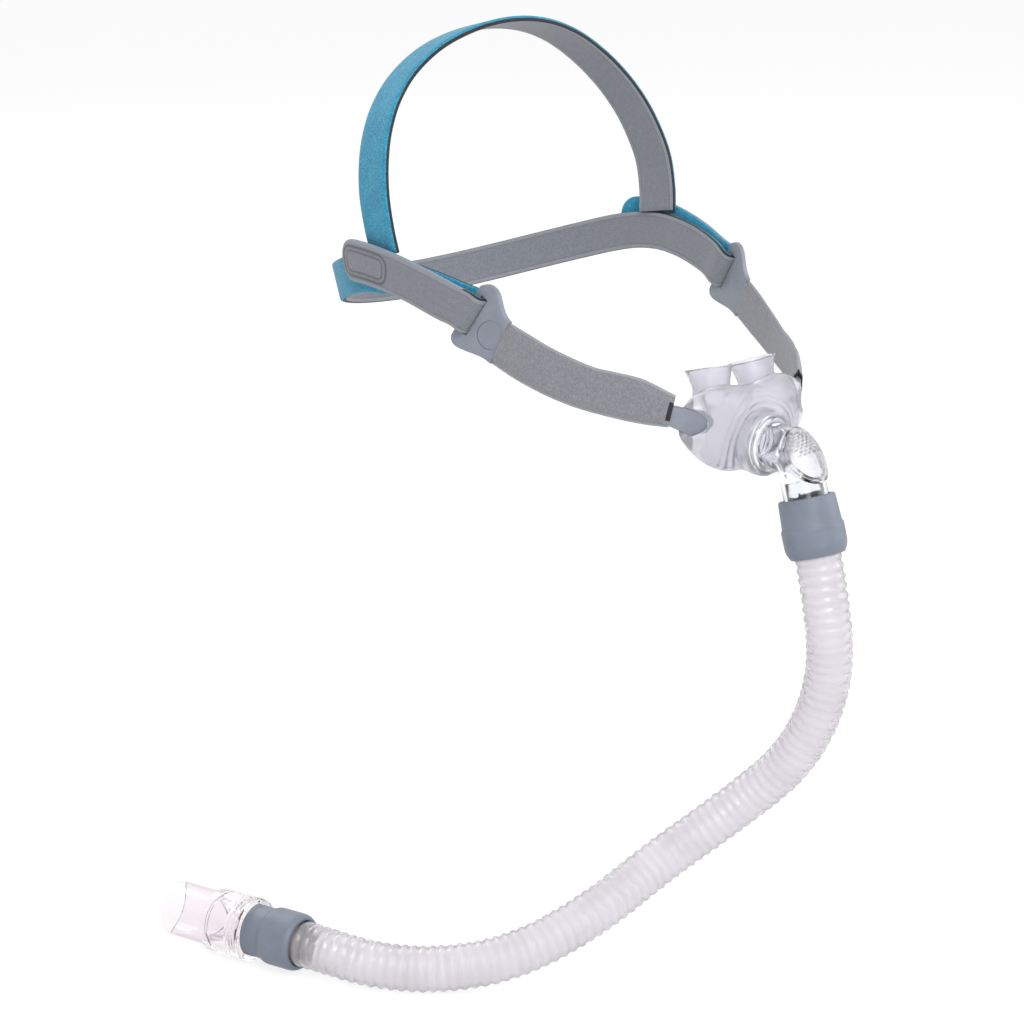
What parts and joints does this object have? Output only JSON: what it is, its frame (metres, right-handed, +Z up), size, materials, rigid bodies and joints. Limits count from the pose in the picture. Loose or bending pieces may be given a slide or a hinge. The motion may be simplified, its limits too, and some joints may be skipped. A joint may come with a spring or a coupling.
{
  "type": "nasal pillows mask",
  "caption": "Nasal pillows breathing mask with strap headgear, turning vented elbow, short corrugated hose and swivel connector.",
  "frame": {"origin": "where the nose meets the upper lip, between the two pillows, with the mask as worn", "axes": "+Z up, the wearer faces -Y, +X to the wearer's left"},
  "size_m": [0.2575, 0.2611, 0.3562],
  "materials": {
    "silicone": "frosted translucent silicone, faint lilac tint",
    "clear_plastic": "clear moulded polycarbonate",
    "vent_plastic": "frosted clear plastic, drilled",
    "grey_rubber": "soft blue-grey elastomer, satin",
    "hose_plastic": "milky translucent corrugated elastomer",
    "connector_plastic": "clear plastic, faint pink tint",
    "arm_plastic": "blue-grey moulded plastic, satin",
    "sleeve_fabric": "grey melange knit with welded edges",
    "strap_fabric": "teal loop fabric on black foam, grey lining",
    "hook_plastic": "dark grey hook tape"
  },
  "bodies": {
    "mask": {"nasal_cushion": "silicone", "port_ring": "clear_plastic", "side_arm_right": "arm_plastic", "side_arm_left": "arm_plastic", "arm_sleeve_right": "sleeve_fabric", "arm_sleeve_left": "sleeve_fabric", "rear_band": "strap_fabric", "crown_strap": "strap_fabric", "hook_tab_right": "hook_plastic", "hook_tab_left": "hook_plastic"},
    "elbow": {"elbow": "clear_plastic", "vent_insert": "vent_plastic"},
    "hose": {"hose_nipple": "clear_plastic", "upper_cuff": "grey_rubber", "hose": "hose_plastic", "lower_cuff": "grey_rubber", "swivel_sleeve": "clear_plastic"},
    "connector": {"swivel_connector": "connector_plastic"}
  },
  "joints": [
    {"name": "elbow_swivel", "type": "hinge", "parent": "mask", "child": "elbow", "pos_m": [0, -0.025, -0.0205], "axis": [0, -1, 0], "continuous": true},
    {"name": "hose_swivel", "type": "hinge", "parent": "elbow", "child": "hose", "pos_m": [0, -0.04878, -0.03952], "axis": [0, -0.309, -0.9511], "continuous": true},
    {"name": "connector_swivel", "type": "hinge", "parent": "hose", "child": "connector", "pos_m": [-0.15775, 0.10084, -0.2155], "axis": [-0.2751, 0.9614, 0], "continuous": true}
  ]
}
